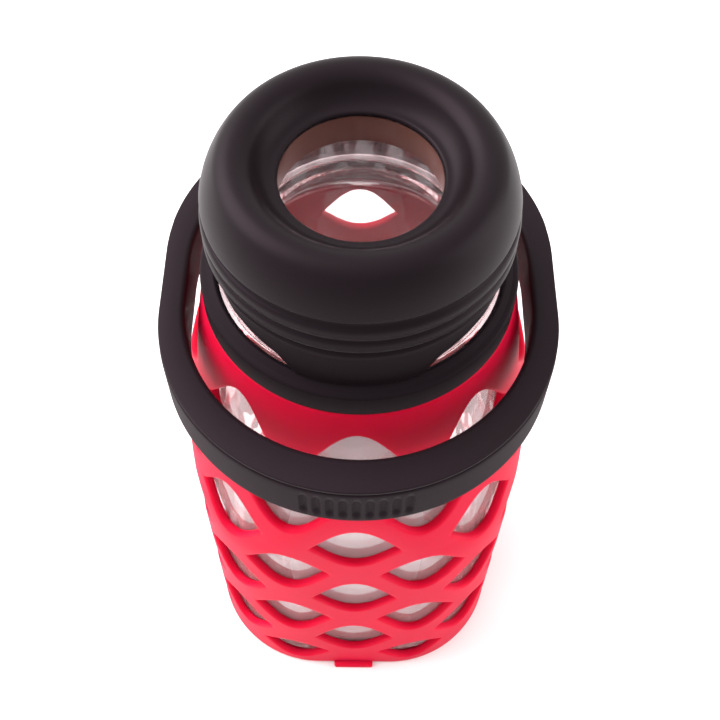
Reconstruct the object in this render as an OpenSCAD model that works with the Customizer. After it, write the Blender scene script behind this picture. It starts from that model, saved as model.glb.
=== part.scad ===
// Glass water bottle in a lattice silicone sleeve, with a screw-on drinking cap and a
// hinged carry loop. Millimetres, +Z up, origin at the centre of the base. The front is -Y.

/* [Body] */
// Width of the sleeved body across its flats
body_w = 78; // [65:0.5:94]
// Corner radius of the body's rounded-square section
body_corner_r = 29; // [23:0.5:34]
// Height of the sleeve's top edge above the base
body_h = 135.6; // [114:0.1:166]
// From the glass neck out to the sleeve's top edge
shoulder_step = 6.9; // [6.5:0.1:9]
// Height of the shoulder above the middle of each flat
shoulder_h = 38.5; // [30:0.1:60]

/* [Glass] */
// Wall of the glass body
glass_wall = 3; // [2:0.1:5]
// Thickness of the glass floor
glass_floor = 6; // [4:0.5:12]
// Depth of the dished underside of the glass
punt_depth = 1.6; // [0.5:0.1:3]
// Outer radius of the neck below its thread
neck_r = 24.8; // [22:0.1:30]
// Wall of the glass neck
neck_wall = 4.4; // [3:0.1:5]
// Height of the glass rim above the sleeve's top edge
neck_h = 28; // [24:0.1:34]
// Thickness of the bead that holds the collar down
bead_h = 1.2; // [0.8:0.1:2]

/* [Thread] */
// Rise of the cap in one turn
thread_pitch = 4; // [3:0.1:5]
// How far the thread stands out of the neck
thread_depth = 1; // [0.6:0.05:1.2]
// Turns of thread on the glass
thread_turns = 1.5; // [1:0.25:1.75]
// Play between the two threads, measured across the radius
thread_play = 0.3; // [0.2:0.05:0.5]

/* [Sleeve] */
// Thickness of the silicone
sleeve_t = 2.2; // [1.6:0.1:3.2]
// Window columns around the body
window_columns = 8; // [6:1:10]
// Distance between a window and the next one below it
window_pitch = 31.4; // [28:0.2:36]
// Half-width of the strand that stands between the tips of two windows
strand = 3.1; // [2:0.1:5]
// Share of the distance between windows that each one's height takes
window_fill = 0.66; // [0.5:0.01:0.72]
// Height of the lowest full row's centre above the base
window_z = 23.9; // [20:0.1:30]
// Least height of the plain band above the highest windows
band_h = 5; // [3:0.5:14]
// Radius of the hole in the sleeve's floor
floor_hole_r = 22; // [10:1:28]
// Width of the pull tab at the bottom edge
pull_tab_w = 11; // [6:0.5:16]
// How far the pull tab stands out
pull_tab_out = 1.4; // [0.8:0.1:3]

/* [Collar] */
// How far the collar stands out past the sleeve's top edge
collar_out = 0; // [0:0.1:2]
// Height of the collar
collar_h = 7.8; // [5:0.1:10]
// Radius of the collar's rounded outer edge
collar_round = 1.5; // [0.8:0.1:2]

/* [Carry loop] */
// Gap between the shoulder and the inside of the loop
loop_gap = 0.8; // [0.4:0.05:6]
// How much longer the loop is than it is wide
loop_stretch = 14.8; // [12:0.1:30]
// Thickness of the loop at its sides
loop_side_t = 5.2; // [4:0.1:7]
// Thickness of the loop at its front and back
loop_front_t = 7.5; // [5:0.1:9]
// Height of the loop's section
loop_h = 12.5; // [9:0.1:14]
// Drop from the sleeve's top edge to the top of the loop
loop_drop = 0.6; // [0.4:0.1:6]
// Thickness of the soft grip moulded round the outside of the loop
grip_t = 1.5; // [1:0.1:2.5]
// Step from the top of the loop down to the grip
grip_step = 1; // [0.5:0.1:2]
// Finger grooves in the front of the grip
grip_grooves = 9; // [5:2:15]

/* [Hinge] */
// Radius of the hinge pin
pin_r = 1.5; // [1:0.05:2]
// Radius of the hinge barrel
barrel_r = 3; // [2.5:0.1:4]
// Width of the loop's knuckle
knuckle_w = 9.4; // [6:0.1:14]
// Width of each lug on the collar
lug_w = 4; // [3:0.1:6]
// Side play between the knuckle and each lug
hinge_play = 0.3; // [0.2:0.05:0.6]
// Radial play of the pin in the knuckle
pin_play = 0.06; // [0.02:0.01:0.1]

/* [Cap] */
// Radius of the drinking hole
hole_r = 15; // [11:0.1:18]
// From the glass neck out to the ribs of the skirt
cap_reach = 5; // [4.8:0.1:6]
// From the ribs in to the dome's highest ring
crest_in = 6.9; // [6:0.1:8]
// Height of the dome's highest ring above the edge of the hole
crest_h = 5; // [3:0.1:7]
// Height of the hole's edge above the glass rim
hole_rise = 3.9; // [3.5:0.1:6]
// Height of the dome's lower rim below the edge of the hole
rim_drop = 4.6; // [4:0.1:6]
// Height of each rib on the skirt
rib_h = 3.9; // [3:0.1:5]
// Depth of the grooves between the ribs
rib_depth = 1; // [0.5:0.1:1.4]
// Half-width of the front tab at its lower edge
tab_half_w = 11.2; // [8:0.1:14]
// Gap between the front tab and the top of the collar
tab_gap = 0.1; // [0.1:0.1:5]
// Thickness of the front tab
tab_t = 1.3; // [1:0.1:1.5]
// Thickness of the rim gasket
gasket_t = 1.4; // [1:0.1:2]
// Wall of the spout liner
liner_t = 1.5; // [1:0.1:2]
// Depth that the spout liner reaches below the edge of the hole
liner_depth = 8.3; // [7:0.1:10]

/* [Hidden] */
$fn = 96;
eps = 0.01;          // overlap that keeps a cut clear of the face it starts from
fit = 0.1;           // gap between pieces that are fixed to each other
run = 0.35;          // gap between pieces that move past each other

// Body and shoulder
half_w = body_w / 2;
half_flat = half_w - body_corner_r;
corner_reach = half_flat * sqrt(2) + body_corner_r;
shoulder_top_r = neck_r + shoulder_step;
shoulder_tan = (half_w - shoulder_top_r) / shoulder_h;
glass_inset = sleeve_t + fit;
cavity_inset = glass_inset + glass_wall;
cavity_z = sleeve_t + glass_floor;
foot_in = 12;        // from the body's flats in to the dished underside of the glass
foot_slope = 6;      // width of the slope that leads into the dish

// Neck
neck_taper = 1.5;    // height of the taper above the bead
rim_round = 0.9;     // chamfer at the glass rim
rim_z = body_h + neck_h;
bore_r = neck_r - neck_wall;
seat_bottom_r = shoulder_top_r - glass_inset;
collar_wall_h = 4.8; // height of the collar's upright outer wall
collar_crown = 0.5;  // width of the flat round the collar's top
collar_z = body_h + fit;
collar_top_z = collar_z + collar_h;
collar_r = shoulder_top_r + collar_out;
cap_r = neck_r + cap_reach;
tab_sink = 0.3;      // how far inside the ribs the face of the front tab lies
tab_in_r = cap_r - tab_sink - tab_t;
bead_r = tab_in_r - run;
bead_out = 0.6;      // how far the bead stands out past the collar's seat
seat_top_r = bead_r - bead_out;
bead_z = collar_top_z + fit;

// Thread
thread_base = 1.5;   // axial width of a thread at its root
thread_tip = 0.7;    // axial width of a thread at its crest
thread_sink = 0.4;   // how deep a thread is rooted in its wall
thread_steps = 30;   // rings of thread section in one turn
thread_drop = 11;    // from the rim down to where the thread starts
thread_z = rim_z - thread_drop;
cap_bore_r = neck_r + thread_depth + thread_play;

// Sleeve windows: the highest row is wider, and a low row fits above the base
wide_row = 1.1;      // width of the highest windows, as a share of the others
top_row_lift = 1.9;  // how far the highest row is raised from the even spacing
edge_power = 0.55;   // how broad the arch of a window is: lower is broader
low_row_w = 0.9;     // width and height of the lowest windows, as shares
low_row_h = 0.65;
low_row_drop = 0.4;  // drop of the lowest windows, as a share of the pitch
window_b = window_pitch * window_fill / 2;
full_rows = floor((body_h - band_h - top_row_lift - window_b - window_z) / window_pitch);
top_row_z = window_z + full_rows * window_pitch + top_row_lift;
window_a = PI * cone_r(top_row_z) / window_columns - strand;

// Cap
hole_z = rim_z + hole_rise;
dome_rim_z = hole_z - rim_drop;
skirt_ribs = 2;
rib_gap = 0.6;       // height of the flat between two ribs
groove_h = 1.6;      // height of the plain groove under the dome's rim
groove_in = 0.3;     // how much deeper that groove is than the ones between the ribs
skirt_edge = 0.4;    // height of the skirt's plain lower edge
skirt_z = dome_rim_z - groove_h - skirt_ribs * rib_h - skirt_edge;
groove_r = cap_r - rib_depth;
core_r = cap_r - 2.2;
gasket_z = rim_z + fit;
flange_z = gasket_z + gasket_t + fit;
flange_top_z = hole_z - 1.1;
liner_r = hole_r + 0.5;
liner_out_r = liner_r + liner_t;
crest_r = cap_r - crest_in;
crest_arc_r = 4.2;   // radius of the dome's rounded crest
dish_r = crest_r - crest_arc_r * cos(30);
shoulder_r = crest_r + crest_arc_r * cos(35);
tab_z = collar_top_z + tab_gap;
tab_flare = 0.3;     // how much further out the tab is at its lower edge
tab_knee_w = 3.4;    // from the tab's lower corner out and up to its knee
tab_knee_h = 3.8;

// Loop and hinge
loop_top_z = body_h - loop_drop;
loop_z = loop_top_z - loop_h;
loop_in_r = cone_r(loop_z) + loop_gap;
loop_r = loop_in_r + loop_side_t;
loop_w = 2 * loop_r;
loop_l = loop_w + loop_stretch;
loop_centre = loop_stretch / 2;
loop_in_centre = loop_l / 2 - loop_front_t - loop_in_r;
hinge_z = loop_top_z - barrel_r - 0.8;
hinge_y = max(cone_r(hinge_z - barrel_r), collar_r) + barrel_r + 0.5;
heel_z = hinge_z - 1.2;  // underside of the loop beside its hinge
heel_y = loop_centre + 8; // where the underside starts to rise towards the hinge
heel_run = 4;        // from the hinge forward to where the rise ends
arm_lap = 1;         // how far the knuckle's arm reaches into the loop, short of the grip
lug_x = knuckle_w / 2 + hinge_play;
pin_half = lug_x + lug_w + 0.2;
groove_cut_r = 0.7;  // radius of a finger groove
groove_step = 3.6;   // angle from one finger groove to the next
groove_end = 3;      // from a finger groove's end to the edge of the grip

// Outer radius of the shoulder cone at height z
function cone_r(z) = shoulder_top_r + (body_h - z) * shoulder_tan;
// Height at which the cone, moved in by an inset, has radius r
function cone_z(r, inset) = body_h - (r + inset - shoulder_top_r) / shoulder_tan;
// Points along an arc in the r-z plane
function arc(cx, cz, rx, rz, from, to, n) =
    [for (i = [0 : n]) let (a = from + (to - from) * i / n) [cx + rx * cos(a), cz + rz * sin(a)]];
// Upper edge of a window at t from -1 to 1 across its width
function window_edge(t) = pow(0.5 + 0.5 * cos(180 * t), edge_power);

module rounded_square(half, r) {
    flat = half - r;
    square([2 * half, 2 * flat], center = true);
    square([2 * flat, 2 * half], center = true);
    for (x = [-flat, flat], y = [-flat, flat])
        translate([x, y]) circle(r = r);
}

// The body's outer form moved in by an inset, from z0 to the sleeve's top edge
module body_form(inset, z0, z1 = body_h) {
    intersection() {
        translate([0, 0, z0]) linear_extrude(z1 - z0)
            rounded_square(half_w - inset, body_corner_r - inset);
        rotate_extrude()
            polygon([[0, z0 - 1], [corner_reach + 2, z0 - 1],
                     [corner_reach + 2, cone_z(corner_reach + 2, inset)],
                     [cone_r(z1) - inset, z1], [0, z1]]);
    }
}

// A helical ridge of one trapezoid section, swept as one closed solid
module thread(root_r, depth, z0, turns) {
    n = ceil(turns * thread_steps);
    section = [[root_r - sign(depth) * thread_sink, -thread_base / 2],
               [root_r + depth, -thread_tip / 2],
               [root_r + depth, thread_tip / 2],
               [root_r - sign(depth) * thread_sink, thread_base / 2]];
    order = depth > 0 ? [3, 2, 1, 0] : [0, 1, 2, 3];
    points = [for (i = [0 : n]) let (a = 360 * turns * i / n)
              for (k = order) [section[k][0] * cos(a), section[k][0] * sin(a),
                               z0 + thread_pitch * a / 360 + section[k][1]]];
    sides = [for (i = [0 : n - 1], k = [0 : 3]) let (m = (k + 1) % 4)
             each [[4 * i + k, 4 * i + 4 + k, 4 * i + m],
                   [4 * i + m, 4 * i + 4 + k, 4 * i + 4 + m]]];
    ends = [[0, 1, 2, 3], [4 * n + 3, 4 * n + 2, 4 * n + 1, 4 * n]];
    polyhedron(points, concat(sides, ends));
}

module glass_bottle() {
    color([0.9, 0.95, 0.95, 0.35]) difference() {
        union() {
            body_form(glass_inset, sleeve_t + fit);
            rotate_extrude()
                polygon([[0, body_h - eps], [seat_bottom_r, body_h - eps], [seat_bottom_r, body_h],
                         [seat_top_r, collar_top_z], [seat_top_r, bead_z], [bead_r, bead_z],
                         [bead_r, bead_z + bead_h], [neck_r, bead_z + bead_h + neck_taper],
                         [neck_r, rim_z - rim_round], [neck_r - rim_round, rim_z], [0, rim_z]]);
            thread(neck_r, thread_depth, thread_z, thread_turns);
        }
        body_form(cavity_inset, cavity_z, body_h + eps);
        rotate_extrude()
            polygon([[0, body_h - 1], [cone_r(body_h) - cavity_inset, body_h - 1],
                     [cone_r(body_h) - cavity_inset, body_h],
                     [bore_r, bead_z + bead_h + neck_taper], [bore_r, rim_z - rim_round],
                     [bore_r + rim_round, rim_z + eps], [0, rim_z + eps]]);
        rotate_extrude()
            polygon([[0, 0], [half_w - foot_in, 0], [half_w - foot_in, sleeve_t + fit],
                     [half_w - foot_in - foot_slope, sleeve_t + punt_depth],
                     [0, sleeve_t + punt_depth]]);
    }
}

// One window, cut outwards through the wall
module window(angle, z, a, b) {
    points = 7;
    top = [for (i = [-points : points - 1]) [a * i / points, b * window_edge(i / points)]];
    low = [for (i = [points : -1 : 1 - points]) [a * i / points, -b * window_edge(i / points)]];
    rotate([0, 0, angle]) translate([0, -seat_bottom_r + 1.5, z]) rotate([90, 0, 0])
        linear_extrude(corner_reach - seat_bottom_r + 4) polygon(concat(top, low));
}

module silicone_sleeve() {
    step = 360 / window_columns;
    color([0.88, 0.07, 0.16]) difference() {
        union() {
            body_form(0, 0);
            translate([-pull_tab_w / 2, -half_w - pull_tab_out, 0])
                cube([pull_tab_w, half_w, sleeve_t]);
        }
        body_form(sleeve_t, sleeve_t, body_h + eps);
        translate([0, 0, -1]) cylinder(r = floor_hole_r, h = sleeve_t + 2);
        for (c = [0 : window_columns - 1]) {
            for (row = [0 : full_rows - 1]) {
                window(c * step, window_z + row * window_pitch, window_a, window_b);
                window((c + 0.5) * step, window_z + (row + 0.5) * window_pitch, window_a, window_b);
            }
            window(c * step, top_row_z, window_a * wide_row, window_b);
            window((c + 0.5) * step, window_z - low_row_drop * window_pitch,
                   window_a * low_row_w, window_b * low_row_h);
        }
    }
}

module neck_collar() {
    seat_r = seat_top_r + fit;
    foot_r = seat_bottom_r + fit;
    color([0.16, 0.13, 0.15]) difference() {
        union() {
            rotate_extrude()
                polygon(concat([[foot_r, collar_z], [collar_r, collar_z]],
                        arc(collar_r - collar_round, collar_z + collar_wall_h, collar_round, collar_round,
                            0, 70, 6),
                        [[seat_r + collar_crown, collar_top_z], [seat_r, collar_top_z]]));
            for (side = [-1, 1]) translate([side * (lug_x + lug_w / 2), 0, 0]) lug();
        }
        rotate_extrude()
            polygon([[0, collar_z - eps], [foot_r, collar_z - eps], [foot_r, collar_z],
                     [seat_r, collar_top_z], [seat_r, collar_top_z + 1], [0, collar_top_z + 1]]);
        pin_hole(pin_r);
    }
}

// One arm that reaches back from the collar and down to the hinge
module lug() {
    rotate([90, 0, 90]) linear_extrude(lug_w, center = true) {
        translate([hinge_y, hinge_z]) circle(r = barrel_r);
        polygon([[seat_bottom_r + fit, collar_z], [seat_bottom_r + fit, collar_z + collar_wall_h],
                 [hinge_y, collar_z + collar_wall_h], [hinge_y + barrel_r, collar_z],
                 [hinge_y + barrel_r, hinge_z], [hinge_y - barrel_r, hinge_z],
                 [hinge_y - barrel_r, collar_z]]);
    }
}

module pin_hole(r) {
    translate([0, hinge_y, hinge_z]) rotate([0, 90, 0])
        cylinder(r = r, h = 4 * pin_half, center = true);
}

module hinge_pin() {
    color([0.7, 0.7, 0.72]) translate([0, hinge_y, hinge_z]) rotate([0, 90, 0])
        cylinder(r = pin_r, h = 2 * pin_half, center = true);
}

// Stadium outline: straight sides joined by two half-circles
module stadium(r, centre) {
    square([2 * r, 2 * centre], center = true);
    for (y = [-centre, centre]) translate([0, y]) circle(r = r);
}

// Space below the loop's rear that lets it swing up past the shoulder
module heel_cut() {
    rotate([90, 0, 90]) linear_extrude(2 * loop_w, center = true)
        polygon([[heel_y, loop_z - 1], [heel_y, loop_z], [hinge_y - heel_run, heel_z], [loop_l, heel_z],
                 [loop_l, loop_z - 1]]);
}

module carry_loop() {
    color([0.15, 0.12, 0.14]) difference() {
        union() {
            difference() {
                translate([0, 0, loop_z]) linear_extrude(loop_h) stadium(loop_r, loop_centre);
                translate([0, 0, loop_z - 1]) linear_extrude(loop_h + 2)
                    stadium(loop_in_r, loop_in_centre);
                heel_cut();
                translate([-pin_half - run, hinge_y - barrel_r, loop_z - 1])
                    cube([2 * (pin_half + run), 2 * barrel_r + run, loop_h + 2]);
            }
            knuckle();
        }
        grip_band(fit);
        pin_hole(pin_r + pin_play);
    }
}

module knuckle() {
    rotate([90, 0, 90]) linear_extrude(knuckle_w, center = true) {
        translate([hinge_y, hinge_z]) circle(r = barrel_r);
        translate([hinge_y, heel_z])
            square([loop_l / 2 - grip_t - arm_lap - hinge_y, loop_top_z - heel_z]);
    }
}

// The soft band round the outside of the loop, grown by a clearance
module grip_band(grow = 0) {
    difference() {
        translate([0, 0, loop_z - grow]) linear_extrude(loop_h - grip_step + 2 * grow)
            difference() {
                stadium(loop_r + grow, loop_centre);
                stadium(loop_r - grip_t - grow, loop_centre);
            }
        translate([-loop_w, heel_y + grow, 0]) cube([2 * loop_w, loop_l, 2 * body_h]);
    }
}

module loop_grip() {
    color([0.22, 0.19, 0.21]) difference() {
        grip_band();
        for (i = [0 : grip_grooves - 1])
            translate([0, -loop_centre, 0])
                rotate([0, 0, (i - (grip_grooves - 1) / 2) * groove_step])
                    translate([0, -loop_r, loop_z + groove_end])
                        cylinder(r = groove_cut_r, h = loop_h - grip_step - 2 * groove_end);
    }
}

module rim_gasket() {
    color([0.85, 0.85, 0.83]) translate([0, 0, gasket_z])
        difference() {
            cylinder(r = cap_bore_r - run, h = gasket_t);
            translate([0, 0, -1]) cylinder(r = liner_out_r + run, h = gasket_t + 2);
        }
}

// Front tab seen from the front: wide where it leaves the skirt, narrow at its lower edge
module tab_outline() {
    side_r = groove_r + 0.1;
    polygon([[-tab_half_w, tab_z], [tab_half_w, tab_z],
             [tab_half_w + tab_knee_w, tab_z + tab_knee_h], [side_r, skirt_z], [side_r, skirt_z + 1],
             [-side_r, skirt_z + 1], [-side_r, skirt_z],
             [-tab_half_w - tab_knee_w, tab_z + tab_knee_h]]);
}

module front_tab() {
    outer_r = tab_in_r + tab_t;
    intersection() {
        rotate_extrude()
            polygon([[tab_in_r - tab_flare, skirt_z + 1], [tab_in_r, tab_z],
                     [outer_r + tab_flare, tab_z], [outer_r, skirt_z + 1]]);
        rotate([90, 0, 0]) linear_extrude(2 * cap_r) tab_outline();
    }
}

module cap_body() {
    ribs = [for (i = [0 : skirt_ribs - 1])
            each arc(groove_r, dome_rim_z - groove_h - (i + 0.5) * rib_h,
                     rib_depth, (rib_h - rib_gap) / 2, 90, -90, 8)];
    color([0.13, 0.11, 0.13]) union() {
        rotate_extrude()
            polygon(concat([[liner_out_r + fit, flange_top_z], [core_r, flange_top_z],
                            [core_r, dome_rim_z], [groove_r - groove_in, dome_rim_z - fit]],
                           ribs,
                           [[groove_r - groove_in, skirt_z], [cap_bore_r, skirt_z],
                            [cap_bore_r, flange_z], [liner_out_r + fit, flange_z]]));
        front_tab();
        thread(cap_bore_r, -thread_depth, thread_z + thread_pitch / 2, 1);
    }
}

module cap_shell() {
    inner_r = core_r + fit;
    ellipse_r = 11.9;    // half-axes of the shoulder's curve
    ellipse_h = 16.7;
    ellipse_z = hole_z + crest_h - crest_arc_r + crest_arc_r * sin(35) - ellipse_h * cos(45);
    ellipse_c = shoulder_r - ellipse_r * sin(45);
    rim_angle = asin((dome_rim_z + 0.6 - ellipse_z) / ellipse_h);
    color([0.15, 0.13, 0.15]) rotate_extrude()
        polygon(concat(
            [[hole_r, hole_z - 1], [hole_r, hole_z]],
            [for (i = [1 : 5]) let (t = i / 6)
             [hole_r + (dish_r - hole_r) * t,
              hole_z + (crest_h - crest_arc_r * 0.5) * t * t]],
            arc(crest_r, hole_z + crest_h - crest_arc_r, crest_arc_r, crest_arc_r, 150, 35, 12),
            arc(ellipse_c, ellipse_z, ellipse_r, ellipse_h, 42, rim_angle, 8),
            [[ellipse_c + ellipse_r * cos(rim_angle) - 0.5, dome_rim_z], [inner_r, dome_rim_z],
             [inner_r, flange_top_z + fit], [hole_r, flange_top_z + fit]]));
}

module spout_liner() {
    color([0.3, 0.2, 0.18]) rotate_extrude()
        polygon([[liner_r, hole_z - liner_depth], [liner_out_r, hole_z - liner_depth],
                 [liner_out_r, flange_top_z], [liner_r, flange_top_z]]);
}

glass_bottle();
silicone_sleeve();
neck_collar();
hinge_pin();
carry_loop();
loop_grip();
rim_gasket();
cap_body();
cap_shell();
spout_liner();
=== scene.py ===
import math

import bmesh
import bpy
import numpy as np
from mathutils import Matrix, Vector


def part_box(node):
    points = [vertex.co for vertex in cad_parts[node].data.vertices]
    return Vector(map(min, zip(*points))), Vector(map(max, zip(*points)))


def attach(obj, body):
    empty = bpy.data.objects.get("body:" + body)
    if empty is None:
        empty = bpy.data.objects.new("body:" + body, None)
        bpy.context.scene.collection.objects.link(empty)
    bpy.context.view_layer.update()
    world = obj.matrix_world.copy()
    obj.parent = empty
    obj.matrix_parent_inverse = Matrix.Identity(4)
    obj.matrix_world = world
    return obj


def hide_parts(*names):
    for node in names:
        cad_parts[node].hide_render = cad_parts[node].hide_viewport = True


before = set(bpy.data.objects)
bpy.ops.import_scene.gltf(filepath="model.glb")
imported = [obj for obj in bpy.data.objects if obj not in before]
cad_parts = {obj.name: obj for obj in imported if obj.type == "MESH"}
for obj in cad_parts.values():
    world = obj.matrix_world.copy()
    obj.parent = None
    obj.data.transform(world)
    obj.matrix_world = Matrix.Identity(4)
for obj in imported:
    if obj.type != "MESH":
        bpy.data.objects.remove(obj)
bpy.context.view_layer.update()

# ---------------------------------------------------------------------------
# Sizes, in millimetres like the CAD source; points become metres in place()
# ---------------------------------------------------------------------------
MM = 0.001
BODY_LOW, BODY_HIGH = [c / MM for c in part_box("silicone_sleeve")]
GLASS_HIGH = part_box("glass_bottle")[1] / MM
SHELL_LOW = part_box("cap_shell")[0] / MM
CAP_LOW, CAP_HIGH = [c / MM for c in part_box("cap_body")]
COLLAR_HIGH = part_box("neck_collar")[1] / MM
LOOP_LOW, LOOP_HIGH = [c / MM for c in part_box("carry_loop")]
LINER_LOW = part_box("spout_liner")[0] / MM
GASKET_LOW, GASKET_HIGH = [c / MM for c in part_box("rim_gasket")]
PIN_LOW, PIN_HIGH = [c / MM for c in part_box("hinge_pin")]

# Body section: a rounded square that a cone cuts round at the shoulder
HALF_W = BODY_HIGH.x
CORNER_R = 29.0
BODY_H = BODY_HIGH.z
TOP_R = 31.7             # outer radius of the sleeve's top edge
SHOULDER_H = 38.5        # height of the shoulder above the middle of each flat
SHOULDER_TAN = (HALF_W - TOP_R) / SHOULDER_H
BLEND = 0.35             # how softly the cone runs into the flats
BULGE = 0.9              # how far the shoulder swells past a straight cone
BULGE_H = 52.0           # height of the stretch that swells
BULGE_DROP = 1.0         # from the sleeve's top edge down to where it starts
SLEEVE_T = 2.2
FLOOR_HOLE_R = 22.0

# Sleeve lattice
COLUMNS = 8
WINDOW_Z = 23.9          # centre of the lowest full row
ROW_STEP = 15.7          # from one row to the next, staggered, row
WINDOW_A, WINDOW_B = 10.2, 9.4     # half-width and half-height of a window
TOP_LIFT, TOP_WIDE = 1.9, 1.1      # the highest row is raised and wider
LOW_WIDE, LOW_TALL = 0.9, 0.65     # the lowest windows are smaller
LOW_DROP = 12.56         # from the lowest full row down to those windows
EDGE_POWER = 0.55        # how broad a window's arch is
FULL_ROWS = 7

# Glass, neck and thread
GLASS_INSET = 2.25       # from the sleeve's outer face in to the glass
GLASS_WALL = 3.0
GLASS_FOOT = 4.0         # radius of the edge round the glass floor
CAVITY_Z = 8.2           # top of the glass floor
NECK_R = 24.8
BORE_R = 20.4
RIM_Z = GLASS_HIGH.z
THREAD_PITCH = 4.0
THREAD_OUT = 0.98
THREAD_Z = RIM_Z - 11.0
THREAD_RINGS = 32        # samples up the stretch of neck that holds the thread

# Cap
HOLE_Z = RIM_Z + 3.9
HOLE_R = 15.0
CAP_R = CAP_HIGH.x
DOME_RIM_Z = SHELL_LOW.z
SKIRT_Z = DOME_RIM_Z - 9.8
TAB_Z = CAP_LOW.z
TAB_HALF, TAB_KNEE = 11.2, 14.6    # half-widths of the tab at its lower edge and its knee
TAB_KNEE_Z = TAB_Z + 3.8
RIB_H = 3.9
CORE_R = 27.6            # inside of the dome, where it sits on the cap's body
CAP_BORE_R = 26.1
FLANGE_Z = HOLE_Z - 2.4  # underside of the cap's flange
FLANGE_TOP_Z = HOLE_Z - 1.1
LINER_R, LINER_OUT_R = 15.5, 17.0

# Hinge and loop
HINGE_Y = (PIN_LOW.y + PIN_HIGH.y) / 2
HINGE_Z = (PIN_LOW.z + PIN_HIGH.z) / 2
BARREL_R = 3.0
LUG_IN, LUG_OUT = 5.0, 9.0         # near and far side of each lug, from the middle
LOOP_R, LOOP_C = LOOP_HIGH.x, LOOP_HIGH.y - LOOP_HIGH.x
INNER_R = LOOP_R - 5.2   # the loop is thinner at its sides than at its front
INNER_C = LOOP_HIGH.y - 7.5 - INNER_R
LOOP_Z, LOOP_TOP = LOOP_LOW.z, LOOP_HIGH.z
GRIP_T, GRIP_STEP = 1.5, 1.0
HEEL_IN = 8.0            # from the rear arc's centre back to the grip's end
HEEL_Y = LOOP_C + HEEL_IN
HEEL_Z = HINGE_Z - 1.2
HINGE_ROOM = 14.0        # half-width of the loop's notch for the collar's lugs
NOTCH_SLOPE = 4.2        # width over which the notch reaches its full depth
NOTCH_Y = HINGE_Y + 3.4
ARC_SHARE = 0.86         # share of each quarter of the loop that is the arc
GROOVE_STEP = math.radians(3.6) * LOOP_R
GROOVES = 9
GRIP_MIDDLE = LOOP_Z + 5.75


# ---------------------------------------------------------------------------
# Mesh helpers
# ---------------------------------------------------------------------------
def place(name, points, faces, body, replaced=(), slot=None, material=None):
    """Makes a smooth mesh piece from points in millimetres and puts it on its body."""
    mesh = bpy.data.meshes.new(name)
    mesh.from_pydata((np.asarray(points, float) * MM).tolist(), [], faces)
    mesh.validate()
    bm = bmesh.new()
    bm.from_mesh(mesh)
    bmesh.ops.remove_doubles(bm, verts=bm.verts, dist=0.004 * MM)
    bmesh.ops.recalc_face_normals(bm, faces=bm.faces)
    bm.to_mesh(mesh)
    bm.free()
    mesh.shade_smooth()
    piece = bpy.data.objects.new(name, mesh)
    bpy.context.scene.collection.objects.link(piece)
    if material is not None:
        mesh.materials.append(material)
    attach(piece, body)
    if replaced:
        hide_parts(*replaced)
    return piece


def rounded(corners, steps=5):
    """A closed outline from (x, y, radius) corners, each turned into an arc of steps + 1 points."""
    path = []
    count = len(corners)
    for i, (x, y, radius) in enumerate(corners):
        here = np.array([x, y], float)
        before = np.array(corners[i - 1][:2], float) - here
        after = np.array(corners[(i + 1) % count][:2], float) - here
        la, lb = np.linalg.norm(before), np.linalg.norm(after)
        ua, ub = before / max(la, 1e-9), after / max(lb, 1e-9)
        half = math.acos(max(-1.0, min(1.0, float(ua @ ub)))) / 2
        reach = radius / max(math.tan(half), 1e-3)
        reach = min(reach, 0.48 * la, 0.48 * lb)
        size = reach * math.tan(half)
        middle = here + (ua + ub) / max(np.linalg.norm(ua + ub), 1e-9) * math.hypot(reach, size)
        start, end = here + ua * reach, here + ub * reach
        if half > math.pi / 2 - 0.02 or radius <= 0:
            path += [start + (end - start) * k / steps for k in range(steps + 1)]
            continue
        a0 = math.atan2(*(start - middle)[::-1])
        turn = math.atan2(*(end - middle)[::-1]) - a0
        turn = (turn + math.pi) % (2 * math.pi) - math.pi
        for k in range(steps + 1):
            a = a0 + turn * k / steps
            path.append(middle + size * np.array([math.cos(a), math.sin(a)]))
    return np.array(path)


def arc(cx, cy, rx, ry, start, end, steps):
    """Points along an arc of an ellipse, from one angle in degrees to another."""
    a = np.radians(np.linspace(start, end, steps + 1))
    return np.stack([cx + rx * np.cos(a), cy + ry * np.sin(a)], 1)


def sweep_faces(rings, points, closed_rings=True, closed_points=True):
    """Quads over a grid of rings x points."""
    faces = []
    for i in range(rings if closed_rings else rings - 1):
        for k in range(points if closed_points else points - 1):
            j, m = (i + 1) % rings, (k + 1) % points
            faces.append((i * points + k, j * points + k, j * points + m, i * points + m))
    return faces


def lathe_points(profile, steps):
    """Turns (r, z) points, or a function of the azimuth that gives them, about Z."""
    rings = []
    for azimuth in np.linspace(0, 2 * math.pi, steps, endpoint=False):
        path = profile(azimuth) if callable(profile) else profile
        rings.append(np.stack([path[:, 0] * math.sin(azimuth),
                               -path[:, 0] * math.cos(azimuth), path[:, 1]], 1))
    return np.concatenate(rings), len(rings[0])


def lathe(name, profile, body, steps, **kind):
    """A piece turned about Z from a closed section."""
    points, count = lathe_points(profile, steps)
    return place(name, points, sweep_faces(steps, count), body, **kind)


def prism(outline, x0, x1, bevel):
    """A y-z outline extruded along X with chamfered ends, as points and faces."""
    outline = np.asarray(outline, float)
    inward = outline - outline.mean(0)
    inner = outline - inward / np.linalg.norm(inward, axis=1)[:, None] * bevel
    stations = [(x0, inner), (x0 + bevel, outline), (x1 - bevel, outline), (x1, inner)]
    points = np.concatenate([np.column_stack([np.full(len(o), x), o]) for x, o in stations])
    n = len(outline)
    faces = sweep_faces(len(stations), n, closed_rings=False)
    faces += [tuple(range(n)), tuple(range(4 * n - 1, 3 * n - 1, -1))]
    return points, faces


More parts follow.
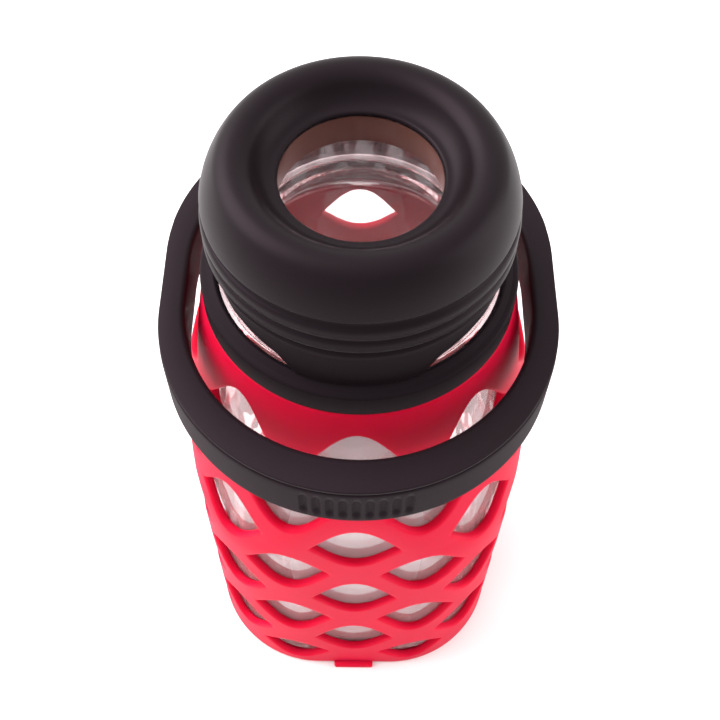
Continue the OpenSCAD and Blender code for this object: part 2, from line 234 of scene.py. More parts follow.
def joined(parts):
    """Several (points, faces) as one."""
    points, faces, offset = [], [], 0
    for p, f in parts:
        points.append(p)
        faces += [tuple(offset + i for i in face) for face in f]
        offset += len(p)
    return np.concatenate(points), faces


# ---------------------------------------------------------------------------
# The body's outer form
# ---------------------------------------------------------------------------
def square_radius(azimuth, half, corner):
    """Distance from the axis to a rounded square in a direction."""
    a = np.abs((azimuth + math.pi / 4) % (math.pi / 2) - math.pi / 4)
    flat = half - corner
    c, s = np.cos(a), np.sin(a)
    along = (c + s) * flat
    on_arc = along + np.sqrt(np.maximum(along ** 2 - 2 * flat ** 2 + corner ** 2, 0))
    return np.where(half * s / c <= flat, half / c, on_arc)


def form_radius(azimuth, z, inset=0.0):
    """Distance from the axis to the body's outer form, moved in by an inset."""
    swell = BULGE * np.sin(np.pi * np.clip((BODY_H - BULGE_DROP - z) / BULGE_H, 0, 1))
    cone = TOP_R + (BODY_H - z) * SHOULDER_TAN + swell - inset
    square = square_radius(azimuth, HALF_W - inset, CORNER_R - inset)
    low = np.minimum(cone, square)
    return low - BLEND * np.log(np.exp(-(cone - low) / BLEND) + np.exp(-(square - low) / BLEND))


def perimeter_table():
    """Arc lengths round the body's flats and corners, against the azimuth."""
    azimuth = np.linspace(0, 2 * math.pi, 2881)
    radius = square_radius(azimuth, HALF_W, CORNER_R)
    x, y = radius * np.sin(azimuth), -radius * np.cos(azimuth)
    length = np.concatenate([[0], np.cumsum(np.hypot(np.diff(x), np.diff(y)))])
    return azimuth, length


AZIMUTHS, LENGTHS = perimeter_table()
PERIMETER = LENGTHS[-1]
COLUMN = PERIMETER / COLUMNS


def skin(s, z, depth):
    """Point at arc length s round the body and height z, depth below the outer surface."""
    s, z = np.asarray(s, float), np.asarray(z, float)
    azimuth = np.interp(s % PERIMETER, LENGTHS, AZIMUTHS)

    def at(a):
        r = form_radius(a, z)
        return np.stack([r * np.sin(a), -r * np.cos(a)], -1)

    step = 2e-3
    tangent = at(azimuth + step) - at(azimuth - step)
    normal = np.stack([tangent[..., 1], -tangent[..., 0]], -1)
    normal /= np.linalg.norm(normal, axis=-1)[..., None]
    flat = at(azimuth) - normal * np.asarray(depth, float)[..., None]
    return np.concatenate([flat, np.broadcast_to(z, azimuth.shape)[..., None]], -1)


# ---------------------------------------------------------------------------
# Materials
# ---------------------------------------------------------------------------
def soft_plastic(name, colour, roughness, stipple, shine=0.25):
    """Moulded plastic or rubber: a fine stipple in the surface and a slight change of tone across it."""
    mat = bpy.data.materials.new(name)
    mat.use_nodes = True
    nodes, links = mat.node_tree.nodes, mat.node_tree.links
    bsdf = nodes["Principled BSDF"]
    coords = nodes.new("ShaderNodeTexCoord")
    cloud = nodes.new("ShaderNodeTexNoise")
    cloud.inputs["Scale"].default_value = 45
    cloud.inputs["Detail"].default_value = 3
    grain = nodes.new("ShaderNodeTexNoise")
    grain.inputs["Scale"].default_value = 2600
    grain.inputs["Detail"].default_value = 2
    tone = nodes.new("ShaderNodeMix")
    tone.data_type = "RGBA"
    tone.inputs["A"].default_value = (*[c * 0.9 for c in colour], 1)
    tone.inputs["B"].default_value = (*[c * 1.12 for c in colour], 1)
    rough = nodes.new("ShaderNodeMapRange")
    rough.inputs["To Min"].default_value = roughness - 0.03
    rough.inputs["To Max"].default_value = roughness + 0.04
    bump = nodes.new("ShaderNodeBump")
    bump.inputs["Strength"].default_value = stipple
    bump.inputs["Distance"].default_value = 0.0002
    links.new(coords.outputs["Object"], cloud.inputs["Vector"])
    links.new(coords.outputs["Object"], grain.inputs["Vector"])
    links.new(cloud.outputs["Fac"], tone.inputs["Factor"])
    links.new(cloud.outputs["Fac"], rough.inputs["Value"])
    links.new(grain.outputs["Fac"], bump.inputs["Height"])
    links.new(tone.outputs["Result"], bsdf.inputs["Base Color"])
    links.new(rough.outputs["Result"], bsdf.inputs["Roughness"])
    links.new(bump.outputs["Normal"], bsdf.inputs["Normal"])
    bsdf.inputs["Specular IOR Level"].default_value = shine
    bsdf.inputs["Specular Tint"].default_value = (1.0, 0.80, 0.90, 1)
    return mat


def setting(mat, **sockets):
    """Sets sockets of a material's shader, named with _ for each space."""
    bsdf = mat.node_tree.nodes["Principled BSDF"]
    for name, value in sockets.items():
        bsdf.inputs[name.replace("_", " ")].default_value = value
    return mat


CAP_BLACK = soft_plastic("cap_black", (0.0056, 0.0034, 0.0044), 0.42, 0.05, shine=0.11)
LOOP_BLACK = soft_plastic("loop_black", (0.0100, 0.0062, 0.0080), 0.50, 0.08, shine=0.10)
GRIP_BLACK = soft_plastic("grip_black", (0.0105, 0.0066, 0.0085), 0.62, 0.12, shine=0.06)
COLLAR_BLACK = soft_plastic("collar_black", (0.0075, 0.0048, 0.0062), 0.52, 0.06, shine=0.05)
LINER_BROWN = soft_plastic("liner_brown", (0.120, 0.050, 0.038), 0.30, 0.03)
GASKET = setting(soft_plastic("gasket_silicone", (0.62, 0.60, 0.57), 0.35, 0.04),
                 Transmission_Weight=0.35, IOR=1.41)
PIN_STEEL = setting(soft_plastic("pin_steel", (0.55, 0.54, 0.53), 0.25, 0.05), Metallic=1.0)
SLEEVE_RED = setting(soft_plastic("sleeve_red", (0.53, 0.003, 0.028), 0.48, 0.05, shine=0.06),
                     Subsurface_Weight=0.5, Subsurface_Scale=0.005,
                     Subsurface_Radius=(1.0, 0.12, 0.12))


def clear_glass():
    """Clear glass with slow waves in it, left by blowing it in its mould."""
    mat = soft_plastic("clear_glass", (1.0, 0.90, 0.91), 0.04, 0.0)
    nodes, links = mat.node_tree.nodes, mat.node_tree.links
    setting(mat, Transmission_Weight=0.90, IOR=1.48, Specular_IOR_Level=0.5,
            Specular_Tint=(1, 1, 1, 1))
    bsdf = nodes["Principled BSDF"]
    for link in list(bsdf.inputs["Roughness"].links) + list(bsdf.inputs["Normal"].links):
        links.remove(link)
    bsdf.inputs["Roughness"].default_value = 0.0
    coords = nodes.new("ShaderNodeTexCoord")
    stretch = nodes.new("ShaderNodeMapping")
    stretch.inputs["Scale"].default_value = (1, 1, 0.12)
    waves = nodes.new("ShaderNodeTexNoise")
    waves.inputs["Scale"].default_value = 160
    waves.inputs["Detail"].default_value = 2
    bump = nodes.new("ShaderNodeBump")
    bump.inputs["Strength"].default_value = 0.35
    bump.inputs["Distance"].default_value = 0.0006
    links.new(coords.outputs["Object"], stretch.inputs["Vector"])
    links.new(stretch.outputs["Vector"], waves.inputs["Vector"])
    links.new(waves.outputs["Fac"], bump.inputs["Height"])
    links.new(bump.outputs["Normal"], bsdf.inputs["Normal"])
    return mat


GLASS = clear_glass()


# ---------------------------------------------------------------------------
# Silicone sleeve
# ---------------------------------------------------------------------------
EDGE = 18                # samples along one side of a lattice cell
SHORT = 3                # samples along a short straight side
LIP = 0.75               # fillet round a window's edges
LOW_Z = 3.0              # where the wall turns into the bottom edge
BAND_Z = WINDOW_Z + FULL_ROWS * ROW_STEP


def window_outline(a, b):
    """A window's outline, right tip first and then anticlockwise, EDGE points to a quarter."""
    t = np.linspace(1, 0, 400)
    x, y = a * t, b * (0.5 + 0.5 * np.cos(math.pi * t)) ** EDGE_POWER
    run = np.concatenate([[0], np.cumsum(np.hypot(np.diff(x), np.diff(y)))])
    at = np.interp(np.linspace(0, run[-1], EDGE + 1), run, t)
    qx, qy = a * at, b * (0.5 + 0.5 * np.cos(math.pi * at)) ** EDGE_POWER
    quarter = np.stack([qx, qy], 1)[:-1]
    flipped = np.stack([-qx[::-1], qy[::-1]], 1)[:-1]
    upper = np.concatenate([quarter, flipped])
    return np.concatenate([upper, -upper])


def walk(corners, counts):
    """Points along straight lines between corners, the closing corner left out."""
    path = []
    for (p, q), n in zip(zip(corners, corners[1:] + corners[:1]), counts):
        p, q = np.array(p, float), np.array(q, float)
        path += [p + (q - p) * k / n for k in range(n)]
    return np.array(path)


def cell_rings(edge, outline):
    """Rings from a cell's edge on the outer face, round the window's lip and back on the inner face."""
    following = np.roll(outline, -1, 0) - np.roll(outline, 1, 0)
    normal = np.stack([following[:, 1], -following[:, 0]], 1)
    normal /= np.linalg.norm(normal, axis=1)[:, None]
    lip = outline + normal * LIP
    rings = [(edge + (lip - edge) * f, 0.0) for f in (0, 0.3, 0.6, 0.85)]
    for a in np.radians([0, 22.5, 45, 67.5, 90]):
        rings.append((outline + normal * LIP * (1 - math.sin(a)), LIP * (1 - math.cos(a))))
    back = [(p, SLEEVE_T - d) for p, d in rings[::-1]]
    return rings + back


def lattice_cell(edge, outline, centre):
    """One cell of the sleeve's wall with its window."""
    rings = cell_rings(edge, outline + np.array(centre))
    flat = np.concatenate([p for p, _ in rings])
    depth = np.concatenate([np.full(len(p), d) for p, d in rings])
    return skin(flat[:, 0], flat[:, 1], depth), sweep_faces(len(rings), len(edge), False)


def plain_cell(edge):
    """A cell with no window, closed over on the outer and the inner face."""
    n, middle = len(edge), edge.mean(0)
    parts = []
    for depth in (0.0, SLEEVE_T):
        rings = [middle + (edge - middle) * f for f in (1, 0.8, 0.6, 0.4, 0.2)]
        flat = np.concatenate(rings + [middle[None]])
        faces = sweep_faces(5, n, False)
        faces += [(4 * n + k, 4 * n + (k + 1) % n, 5 * n) for k in range(n)]
        parts.append((skin(flat[:, 0], flat[:, 1], np.full(len(flat), depth)), faces))
    return joined(parts)


def sleeve_edge_strips():
    """The rounded top edge, and the bottom edge with the floor and its hole."""
    n = COLUMNS * 2 * EDGE
    s = np.arange(n) * PERIMETER / n
    soft, round_r = 0.6, 2.0
    top = [(BAND_Z, 0.0), ((BAND_Z + BODY_H) / 2, 0.0)]
    top += [(BODY_H - soft * (1 - math.sin(a)), soft * (1 - math.cos(a)))
            for a in np.radians([0, 30, 60, 90])]
    top += [(z, SLEEVE_T - d) for z, d in top[::-1]]
    ring = [skin(s, np.full(n, z), np.full(n, d)) for z, d in top]
    parts = [(np.concatenate(ring), sweep_faces(len(ring), n, False))]
    wall = [skin(s, np.full(n, LOW_Z), np.zeros(n))]
    for a in np.radians([0, 18, 36, 54, 72, 90]):
        wall.append(skin(s, np.full(n, round_r * (1 - math.sin(a))),
                         np.full(n, round_r * (1 - math.cos(a)))))
    outer = wall[-1]
    reach = np.linalg.norm(outer[:, :2], axis=1)[:, None]
    hole = np.concatenate([outer[:, :2] / reach * FLOOR_HOLE_R, np.zeros((n, 1))], 1)
    inner = skin(s, np.full(n, SLEEVE_T), np.full(n, SLEEVE_T))
    up = np.array([0, 0, SLEEVE_T])
    wall += [outer + (hole - outer) * f for f in (0.3, 0.6, 0.95)]
    wall += [hole + [0, 0, 0.3], hole + up - [0, 0, 0.3]]
    wall += [(hole + up) + (inner - hole - up) * f for f in (0.05, 0.5, 1)]
    wall.append(skin(s, np.full(n, LOW_Z), np.full(n, SLEEVE_T)))
    parts.append((np.concatenate(wall), sweep_faces(len(wall), n, False)))
    return parts


def sleeve():
    """The whole sleeve: staggered lattice cells, its edges and the pull tab."""
    wide, tall = COLUMN / 2, ROW_STEP
    parts = []
    eye = window_outline(WINDOW_A, WINDOW_B)
    top_eye = window_outline(WINDOW_A * TOP_WIDE, WINDOW_B)
    low_eye = window_outline(WINDOW_A * LOW_WIDE, WINDOW_B * LOW_TALL)
    for column in range(COLUMNS):
        for row in range(FULL_ROWS):
            even = row % 2 == 0
            s = (column + (0 if even else 0.5)) * COLUMN
            z = WINDOW_Z + row * ROW_STEP
            edge = walk([(s + wide, z), (s, z + tall), (s - wide, z), (s, z - tall)], [EDGE] * 4)
            if row == FULL_ROWS - 1:
                parts.append(lattice_cell(edge, top_eye, (s, z + TOP_LIFT)))
            else:
                parts.append(lattice_cell(edge, eye, (s, z)))
        s, z = (column + 0.5) * COLUMN, WINDOW_Z - tall
        edge = walk([(s + wide, z), (s, z + tall), (s - wide, z), (s - wide, LOW_Z),
                     (s + wide, LOW_Z)], [EDGE, EDGE, SHORT, 2 * EDGE, SHORT])
        low = walk_match(low_eye, len(edge))
        parts.append(lattice_cell(edge, low, (s, WINDOW_Z - LOW_DROP)))
        z = BAND_Z
        edge = walk([(s + wide, z), (s - wide, z), (s, z - tall)], [2 * EDGE, EDGE, EDGE])
        parts.append(plain_cell(edge))
    parts += sleeve_edge_strips()
    tab_half, tab_deep, tab_y = 5.5, 3.6, BODY_LOW.y
    outline = rounded([(tab_y, 0, 0.5), (tab_y + tab_deep, 0, 0), (tab_y + tab_deep, SLEEVE_T, 0),
                       (tab_y, SLEEVE_T, 0.9)])
    parts.append(prism(outline, -tab_half, tab_half, 0.4))
    return joined(parts)


def walk_match(outline, count):
    """The same closed outline with another number of points, spaced evenly along it."""
    closed = np.concatenate([outline, outline[:1]])
    run = np.concatenate([[0], np.cumsum(np.hypot(*np.diff(closed, axis=0).T))])
    at = np.linspace(0, run[-1], count, endpoint=False)
    return np.stack([np.interp(at, run, closed[:, 0]), np.interp(at, run, closed[:, 1])], 1)


points, faces = sleeve()
place("lattice_sleeve", points, faces, "bottle", replaced=["silicone_sleeve"],
      slot="sleeve_silicone", material=SLEEVE_RED)


# ---------------------------------------------------------------------------
# Glass bottle
# ---------------------------------------------------------------------------
def thread_bump(azimuth, z, start, turns, half=0.75):
    """From 0 to 1: how far the thread stands out at each height, fading in and out at its ends."""
    out = np.zeros_like(z)
    for k in range(-1, int(turns) + 2):
        turned = azimuth / (2 * math.pi) - 0.25 + k
        ends = np.clip(min(turned, turns - turned) / 0.06, 0, 1)
        off = np.abs(z - (start + THREAD_PITCH * turned)) / half
        out = np.maximum(out, ends * np.clip(1.9 - 1.9 * off, 0, 1))
    return out


def glass_profile(azimuth):
    """The bottle's section in one direction: up the outside, over the rim and down the inside."""
    foot, low = GLASS_FOOT, GLASS_INSET
    cavity = GLASS_INSET + GLASS_WALL
    base = float(form_radius(azimuth, 20.0, GLASS_INSET))
    dish = [(0.001, 1.55), (10, 1.55), (18, 1.55), (20.5, 1.47), (23, 0.75), (25, 0.1), (27, 0)]
    path = [(r, low + up) for r, up in dish] + [(base - foot - 1, low)]
    for a in np.radians(np.linspace(0, 90, 8)):
        path.append((base - foot * (1 - math.sin(a)), low + foot * (1 - math.cos(a))))
    for z in np.concatenate([np.linspace(14, 90, 9), np.linspace(96, BODY_H - 2.1, 20)]):
        path.append((float(form_radius(azimuth, z, GLASS_INSET)), z))
    seat = [(29.5, -0.7), (29.2, 0.6), (28.6, 3.0), (27.6, 6.6), (27.35, 7.9)]
    bead = [(27.7, 8.0), (27.85, 8.3), (27.85, 8.8), (27.6, 9.15), (26.2, 9.5), (25.2, 9.9)]
    path += [(r, BODY_H + up) for r, up in seat + bead]
    path += [(NECK_R + 0.05, BODY_H + 10.5), (NECK_R, BODY_H + 11.4), (NECK_R, BODY_H + 13.4)]
    z = THREAD_Z - 2.2 + 0.35 * np.arange(THREAD_RINGS)
    path += list(zip(NECK_R + THREAD_OUT * thread_bump(azimuth, z, THREAD_Z, 1.5), z))
    path += [(NECK_R, RIM_Z - 1.2)]
    path += [tuple(p) for p in arc(NECK_R - 1.2, RIM_Z - 1.2, 1.2, 1.2, 0, 90, 5)]
    path += [tuple(p) for p in arc(BORE_R + 1.0, RIM_Z - 1.0, 1.0, 1.0, 90, 180, 5)]
    bore = [(0, 24.4), (0, 19.4), (0, 14.4), (0, 10.4), (0.1, 8.9), (0.5, 7.2), (1.4, 5.2),
            (2.8, 3.0), (4.4, 0.8), (5.4, -0.8)]
    path += [(BORE_R + out, BODY_H + up) for out, up in bore]
    for z in np.concatenate([np.linspace(BODY_H - 2.6, 96, 20), np.linspace(90, 16, 9)]):
        path.append((float(form_radius(azimuth, z, cavity)), z))
    inner = float(form_radius(azimuth, 20.0, cavity))
    for a in np.radians(np.linspace(90, 0, 8)):
        path.append((inner - foot * (1 - math.sin(a)), CAVITY_Z + foot * (1 - math.cos(a))))
    path += [(r, CAVITY_Z) for r in (24, 16, 8, 0.001)]
    return np.array(path)


def open_lathe(name, profile, body, steps, **kind):
    """A piece turned about Z from a section that starts and ends on the axis."""
    points, count = lathe_points(profile, steps)
    return place(name, points, sweep_faces(steps, count, True, False), body, **kind)


open_lathe("blown_glass", glass_profile, "bottle", 240, replaced=["glass_bottle"],
           slot="clear_glass", material=GLASS)


# ---------------------------------------------------------------------------
# Cap
# ---------------------------------------------------------------------------
def dome_profile():
    """The dome's section: hole wall, lip, bowl, crest, outer side and rim."""
    crest_r, crest = 22.9, 4.2
    crest_z = HOLE_Z + 0.8
    lip, rise = 0.7, 2.9
    dish_r = crest_r - crest * math.cos(math.radians(30))
    t = np.linspace(0, 1, 9)[1:-1]
    bowl = np.stack([HOLE_R + lip + (dish_r - HOLE_R - lip) * t, HOLE_Z + rise * t ** 2], 1)
    under = FLANGE_TOP_Z + 0.05
    parts = [
        [(HOLE_R, HOLE_Z - 1.0), (HOLE_R, HOLE_Z - 0.6)],
        arc(HOLE_R + lip, HOLE_Z - lip, lip, lip, 180, 90, 6),
        bowl,
        arc(crest_r, crest_z, crest, crest, 150, 37, 28),
        arc(17.93, HOLE_Z - 8.6, 11.9, 16.7, 44, 18, 18),
        arc(28.95, DOME_RIM_Z + 0.5, 0.45, 0.5, 10, -90, 5),
        [(28.2, DOME_RIM_Z), (CORE_R + 0.05, DOME_RIM_Z + 0.05), (CORE_R + 0.05, under), (22, under)],
    ]
    return np.concatenate([np.array(p, float) for p in parts])


lathe("cap_dome", dome_profile(), "cap", 256, replaced=["cap_shell"], slot="shell_plastic",
      material=CAP_BLACK)


def tab_low(azimuth):
    """Height of the skirt's lower edge, which drops at the front to make the tab."""
    def raw(a):
        x = (CAP_R - 0.5) * np.abs(np.sin(a))
        low = np.interp(x, [0, TAB_HALF, TAB_KNEE, CAP_R - 1], [TAB_Z, TAB_Z, TAB_KNEE_Z, SKIRT_Z])
        return np.where(np.cos(a) > 0, low, SKIRT_Z)
    spread = np.radians(np.linspace(-0.7, 0.7, 9))
    return float(np.mean(raw(azimuth + spread)))


def cap_profile(azimuth):
    """The cap body's section in one direction: flange, ribs, skirt or tab, then the threaded bore."""
    low = tab_low(azimuth)
    drop = (SKIRT_Z - low) / (SKIRT_Z - TAB_Z)
    out = np.clip(drop * 4, 0, 1)          # the tab stands out only where it hangs down
    ribs = []
    for i in range(2):
        ribs.append(arc(CAP_R - 1, DOME_RIM_Z - 1.6 - (i + 0.5) * RIB_H, 1.0, 1.72, 78, -78, 12))
    z = np.linspace(SKIRT_Z - 0.2, low + 0.45, 8)
    z = np.minimum(z, SKIRT_Z - 0.2)
    fall = (SKIRT_Z - z) / (SKIRT_Z - TAB_Z)
    face = np.stack([28.55 + out * (0.78 + 0.6 * fall), z], 1)
    end_r = face[-1, 0]
    thick = 0.35 + out * 0.95
    edge = np.array([(end_r - 0.05, low + 0.18), (end_r - 0.22, low + 0.03), (end_r - 0.5, low),
                     (end_r - thick + 0.25, low), (end_r - thick, low + 0.3)])
    inside = np.stack([np.linspace(end_r - thick, CORE_R, 4),
                       np.linspace(low + 0.6, SKIRT_Z + 0.05, 4)], 1)
    bore_z = np.arange(SKIRT_Z + 0.2, RIM_Z - 2.6, 0.4)
    bump = thread_bump(azimuth, bore_z, THREAD_Z + THREAD_PITCH / 2, 1.0)
    bore = np.stack([CAP_BORE_R - THREAD_OUT * bump, bore_z], 1)
    flange = [(LINER_OUT_R + 0.1, FLANGE_TOP_Z - 0.05), (20, FLANGE_TOP_Z),
              (CORE_R - 0.3, FLANGE_TOP_Z), (CORE_R, FLANGE_TOP_Z - 0.2), (CORE_R, DOME_RIM_Z + 0.2),
              (CORE_R + 0.15, DOME_RIM_Z - 0.1), (28.2, DOME_RIM_Z - 0.15),
              (28.45, DOME_RIM_Z - 0.4), (28.5, DOME_RIM_Z - 1.3)]
    parts = [
        flange, *ribs,
        [(28.55, SKIRT_Z + 0.35), (28.35, SKIRT_Z + 0.1)],
        face, edge, inside, bore,
        [(CAP_BORE_R, FLANGE_Z - 3.1), (CAP_BORE_R, FLANGE_Z - 0.2), (CAP_BORE_R - 0.2, FLANGE_Z),
         (LINER_OUT_R + 0.3, FLANGE_Z), (LINER_OUT_R + 0.05, FLANGE_Z + 0.2)],
    ]
    return np.concatenate([np.array(p, float) for p in parts])


lathe("cap_skirt", cap_profile, "cap", 480, replaced=["cap_body"], slot="cap_plastic",
      material=CAP_BLACK)


def ring_section(r0, r1, z0, z1, low_round, top_round):
    """A rectangular section with rounded corners."""
    return rounded([(r0, z0, low_round), (r1, z0, low_round), (r1, z1, top_round), (r0, z1, top_round)], 4)


lathe("spout_lining", ring_section(LINER_R, LINER_OUT_R, LINER_LOW.z, FLANGE_TOP_Z, 0.5, 0.2),
      "cap", 160, replaced=["spout_liner"], slot="liner_plastic", material=LINER_BROWN)
lathe("gasket_ring", ring_section(17.35, 25.75, GASKET_LOW.z, GASKET_HIGH.z, 0.4, 0.4),
      "seal", 160, replaced=["rim_gasket"], slot="gasket_silicone", material=GASKET)


# ---------------------------------------------------------------------------
# Collar, hinge pin, loop and grip
# ---------------------------------------------------------------------------
def collar():
    """The ring round the neck, with the two lugs that hold the hinge pin."""
    low, high, edge_r, r = BODY_H + 0.1, COLLAR_HIGH.z, COLLAR_HIGH.x, BARREL_R
    ring = rounded([(29.5, low, 0.3), (edge_r, low, 0.5), (edge_r, high - 1.7, 1.5),
                    (edge_r - 1.3, high - 1.2, 0.5), (29.0, high - 0.2, 0.5),
                    (28.2, high - 0.9, 0.3), (28.2, high - 3, 0.1)], 5)
    points, count = lathe_points(ring, 200)
    parts = [(points, sweep_faces(200, count))]
    lug = rounded([(29.6, low + 0.1, 0.3), (29.6, low + 3.6, 0.3), (HINGE_Y - 0.8, low + 3.6, 1.6),
                   (HINGE_Y + r, low + 1, 1.2), (HINGE_Y + r, HINGE_Z - r, r - 0.01),
                   (HINGE_Y - r, HINGE_Z - r, r - 0.01), (HINGE_Y - r, low, 0.4)], 6)
    for x0, x1 in ((LUG_IN, LUG_OUT), (-LUG_OUT, -LUG_IN)):
        parts.append(prism(lug, x0, x1, 0.3))
    return joined(parts)


points, faces = collar()
place("collar_ring", points, faces, "bottle", replaced=["neck_collar"], slot="cap_plastic",
      material=COLLAR_BLACK)


def pin():
    """The hinge pin, with chamfered ends."""
    steps = 32
    stations = [(PIN_LOW.x, 0.02), (PIN_LOW.x, 1.1), (PIN_LOW.x + 0.35, 1.48),
                (PIN_HIGH.x - 0.35, 1.48), (PIN_HIGH.x, 1.1), (PIN_HIGH.x, 0.02)]
    a = np.linspace(0, 2 * math.pi, steps, endpoint=False)
    rings = [np.stack([np.full(steps, x), HINGE_Y + r * np.cos(a), HINGE_Z + r * np.sin(a)], 1)
             for x, r in stations]
    return np.concatenate(rings), sweep_faces(len(rings), steps, False)


points, faces = pin()
place("hinge_axle", points, faces, "bottle", replaced=["hinge_pin"], slot="pin_steel",
      material=PIN_STEEL)


def stadium_point(u, r, c):
    """Point at u from 0 to 1 round a stadium, from the middle of the front and towards +X."""
    turn = (u % 1.0) * 4
    quarter, along = int(turn), turn % 1.0
    if quarter in (1, 3):
        along = 1 - along
    side = 1 if quarter in (0, 1) else -1
    end = -1 if quarter in (0, 3) else 1
    if along < ARC_SHARE:
        a = along / ARC_SHARE * math.pi / 2
        return np.array([side * r * math.sin(a), end * (c + r * math.cos(a))])
    return np.array([side * r, end * c * (1 - (along - ARC_SHARE) / (1 - ARC_SHARE))])


def heel(y):
    """Height of the loop's underside, which rises towards the hinge."""
    t = np.clip((y - HEEL_Y) / (HINGE_Y - 4 - HEEL_Y), 0, 1)
    return LOOP_Z + (HEEL_Z - LOOP_Z) * t


def loop_section(u):
    """One cross-section of the loop, thinner where the grip or the hinge needs the room."""
    outer, inner = stadium_point(u, LOOP_R, LOOP_C), stadium_point(u, INNER_R, INNER_C)
    if outer[1] > 0 and abs(inner[0]) < HINGE_ROOM:
        ease = np.clip((HINGE_ROOM - abs(inner[0])) / NOTCH_SLOPE, 0, 1)
        inner[1] += max(0.0, NOTCH_Y - inner[1]) * ease
    width = float(np.linalg.norm(outer - inner))
    low = float(heel(outer[1]))
    gripped = outer[1] < HEEL_Y
    recess = GRIP_T + 0.05 if gripped else 0.0
    ledge = LOOP_TOP - GRIP_STEP
    section = rounded([
        (0, low, 1.1), (width - recess, low, 0.4 if gripped else 1.1),
        (width - recess, ledge - 0.35, 0.05 if gripped else 0.01),
        (width - 0.25 if gripped else width, ledge + 0.05, 0.3 if gripped else 0.01),
        (width, LOOP_TOP, 0.85), (0, LOOP_TOP, 1.3)], 4)
    along = (outer - inner) / width
    flat = inner + section[:, :1] * along
    return np.concatenate([flat, section[:, 1:]], 1)


def loop():
    """The loop, with the knuckle that turns on the hinge pin."""
    stations, r = 288, BARREL_R
    rings = [loop_section(i / stations) for i in range(stations)]
    parts = [(np.concatenate(rings), sweep_faces(stations, len(rings[0])))]
    arm = rounded([(HINGE_Y - r, HINGE_Z - r, r - 0.01), (HINGE_Y - r, HINGE_Z + r, r - 0.01),
                   (HINGE_Y + 2.4, LOOP_TOP - 0.8, 1.0), (HINGE_Y + 8.2, LOOP_TOP - 0.3, 0.3),
                   (HINGE_Y + 8.2, HEEL_Z, 0.3), (HINGE_Y + 2.8, HEEL_Z, 1.0)], 6)
    knuckle = LUG_IN - 0.3
    parts.append(prism(arm, -knuckle, knuckle, 0.35))
    return joined(parts)


points, faces = loop()
place("carry_ring", points, faces, "loop", replaced=["carry_loop"], slot="cap_plastic",
      material=LOOP_BLACK)


def finger_groove(x, z):
    """Depth of the plain finger grooves pressed into the front of the grip."""
    nearest = round(x / GROOVE_STEP)
    if abs(nearest) > GROOVES // 2:
        return 0.0
    off = abs(x - nearest * GROOVE_STEP)
    tall = max(0.0, abs(z - GRIP_MIDDLE) - 2.6)
    gap = math.hypot(off, tall)
    return 0.62 * max(0.0, 1 - (gap / 0.95) ** 2)


def grip_frame(run):
    """Point and outward normal on the grip's outline, a distance run from the middle of the front."""
    side, d = (1 if run >= 0 else -1), abs(run)
    arc_end = math.pi / 2 * LOOP_R
    straight_end = arc_end + 2 * LOOP_C
    if d < arc_end:
        a = d / LOOP_R
        normal = np.array([side * math.sin(a), -math.cos(a)])
        return normal * LOOP_R - [0, LOOP_C], normal
    if d < straight_end:
        return np.array([side * LOOP_R, d - arc_end - LOOP_C]), np.array([side, 0.0])
    a = (d - straight_end) / LOOP_R
    normal = np.array([side * math.cos(a), math.sin(a)])
    return normal * LOOP_R + [0, LOOP_C], normal


def grip_section(run):
    """Depth below the outer face, and height, of the grip's section at one place."""
    top, low, soft = LOOP_TOP - GRIP_STEP, LOOP_Z, 0.75
    ends = (2.15, 2.65, 3.15)        # samples that round off both ends of a finger groove
    heights = [low + soft, low + 2.0, *[GRIP_MIDDLE - d for d in ends[::-1]], GRIP_MIDDLE,
               *[GRIP_MIDDLE + d for d in ends], low + 9.5, top - soft]
    section = [(GRIP_T - 0.1, low), (soft, low)]
    section += [(soft - soft * math.sin(t), low + soft - soft * math.cos(t))
                for t in np.radians([25, 50, 75])]
    section += [(finger_groove(run, z), z) for z in heights]
    section += [(soft - soft * math.cos(t), top - soft + soft * math.sin(t))
                for t in np.radians([25, 50, 75, 90])]
    return section + [(GRIP_T - 0.1, top), (GRIP_T, top - 0.1), (GRIP_T, low + 0.1)]


def grip():
    """The soft band round the outside of the loop, closed at both of its ends."""
    front = np.radians(np.linspace(-17, 17, 341)) * LOOP_R
    total = math.pi / 2 * LOOP_R + 2 * LOOP_C + math.asin(HEEL_IN / LOOP_R) * LOOP_R
    rest = np.linspace(front[-1], total, 130)[1:]
    stations = []
    for run in np.concatenate([-rest[::-1], front, rest]):
        point, normal = grip_frame(run)
        stations.append([(*(point - normal * deep), z) for deep, z in grip_section(run)])
    count = len(stations[0])
    faces = sweep_faces(len(stations), count, False)
    last = (len(stations) - 1) * count
    faces += [tuple(range(count)), tuple(range(last + count - 1, last - 1, -1))]
    return np.concatenate([np.array(s) for s in stations]), faces


points, faces = grip()
place("grip_band", points, faces, "loop", replaced=["loop_grip"], slot="grip_rubber",
      material=GRIP_BLACK)


# ---------------------------------------------------------------------------
# Floor, light and camera
# ---------------------------------------------------------------------------
def stage_floor():
    """A wide pale floor."""
    mesh = bpy.data.meshes.new("floor")
    r = 3.0
    mesh.from_pydata([(-r, -r, 0), (r, -r, 0), (r, r, 0), (-r, r, 0)], [], [(0, 1, 2, 3)])
    floor = bpy.data.objects.new("floor", mesh)
    bpy.context.scene.collection.objects.link(floor)
    mat = bpy.data.materials.new("pale_floor")
    mat.use_nodes = True
    bsdf = mat.node_tree.nodes["Principled BSDF"]
    bsdf.inputs["Base Color"].default_value = (0.88, 0.87, 0.865, 1)
    bsdf.inputs["Roughness"].default_value = 0.9
    bsdf.inputs["Specular IOR Level"].default_value = 0.1
    mesh.materials.append(mat)


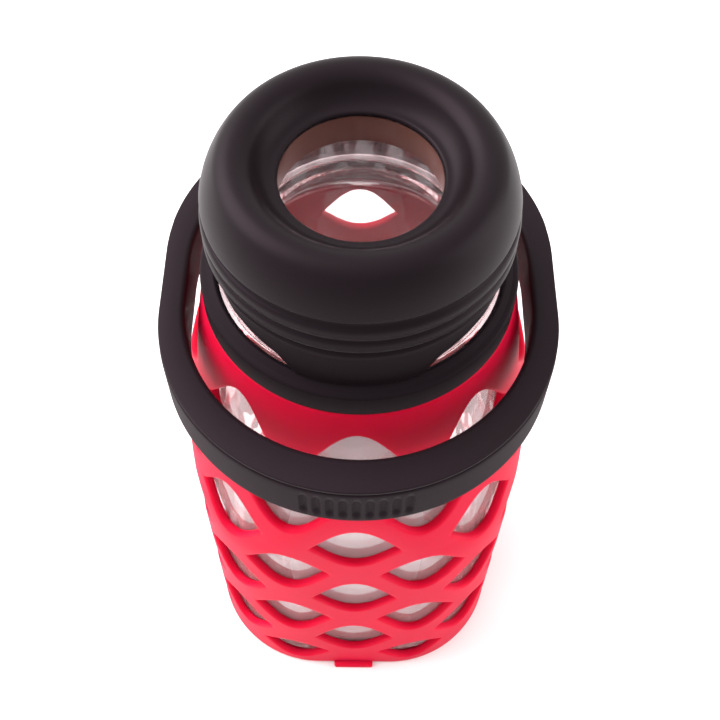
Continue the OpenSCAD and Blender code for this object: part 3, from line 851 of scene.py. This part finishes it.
def area_light(name, position, target, size, power, colour=(1, 1, 1)):
    data = bpy.data.lights.new(name, "AREA")
    data.shape = "DISK"
    data.size = size
    data.energy = power
    data.color = colour
    light = bpy.data.objects.new(name, data)
    light.location = position
    light.rotation_euler = (Vector(target) - Vector(position)).to_track_quat("-Z", "Y").to_euler()
    bpy.context.scene.collection.objects.link(light)


stage_floor()
area_light("key", (-0.75, 0.25, 0.85), (0, 0, 0.12), 1.1, 19, (1.0, 0.95, 0.98))
area_light("fill", (0.95, -0.05, 0.45), (0, 0, 0.1), 0.9, 6, (1.0, 0.97, 0.98))


def studio_world():
    """A white surround that is brighter behind and to the left of the object."""
    world = bpy.data.worlds.new("studio")
    bpy.context.scene.world = world
    world.use_nodes = True
    nodes, links = world.node_tree.nodes, world.node_tree.links
    coords = nodes.new("ShaderNodeTexCoord")
    facing = nodes.new("ShaderNodeVectorMath")
    facing.operation = "DOT_PRODUCT"
    facing.inputs[1].default_value = (-0.62, 0.62, 0.48)
    level = nodes.new("ShaderNodeMapRange")
    level.interpolation_type = "SMOOTHSTEP"
    level.inputs["From Min"].default_value = -0.8
    level.inputs["From Max"].default_value = 0.9
    level.inputs["To Min"].default_value = 0.75
    level.inputs["To Max"].default_value = 1.8
    background = nodes["Background"]
    background.inputs["Color"].default_value = (1.0, 0.985, 0.985, 1)
    links.new(coords.outputs["Generated"], facing.inputs[0])
    links.new(facing.outputs["Value"], level.inputs["Value"])
    links.new(level.outputs["Result"], background.inputs["Strength"])


studio_world()


def photo_camera():
    """Looks down from the front, 58 degrees below the horizon, close enough for strong perspective."""
    pitch, yaw, roll = math.radians(58.21), math.radians(-1.023), math.radians(1.627)
    right = Vector((math.cos(yaw), math.sin(yaw), 0))
    level = Vector((-math.sin(yaw), math.cos(yaw), 0))
    forward = level * math.cos(pitch) - Vector((0, 0, math.sin(pitch)))
    up = right.cross(forward)
    across = right * math.cos(roll) + up * math.sin(roll)
    upward = up * math.cos(roll) - right * math.sin(roll)
    data = bpy.data.cameras.new("camera")
    data.sensor_width = 36
    data.lens = 54.17
    data.shift_x = -0.0079
    data.clip_start, data.clip_end = 0.01, 20
    camera = bpy.data.objects.new("camera", data)
    turn = Matrix((across, upward, -forward)).transposed().to_4x4()
    camera.matrix_world = Matrix.Translation((-0.00057, -0.13009, 0.31435)) @ turn
    bpy.context.scene.collection.objects.link(camera)
    bpy.context.scene.camera = camera


photo_camera()
bpy.context.scene.view_settings.view_transform = "Standard"
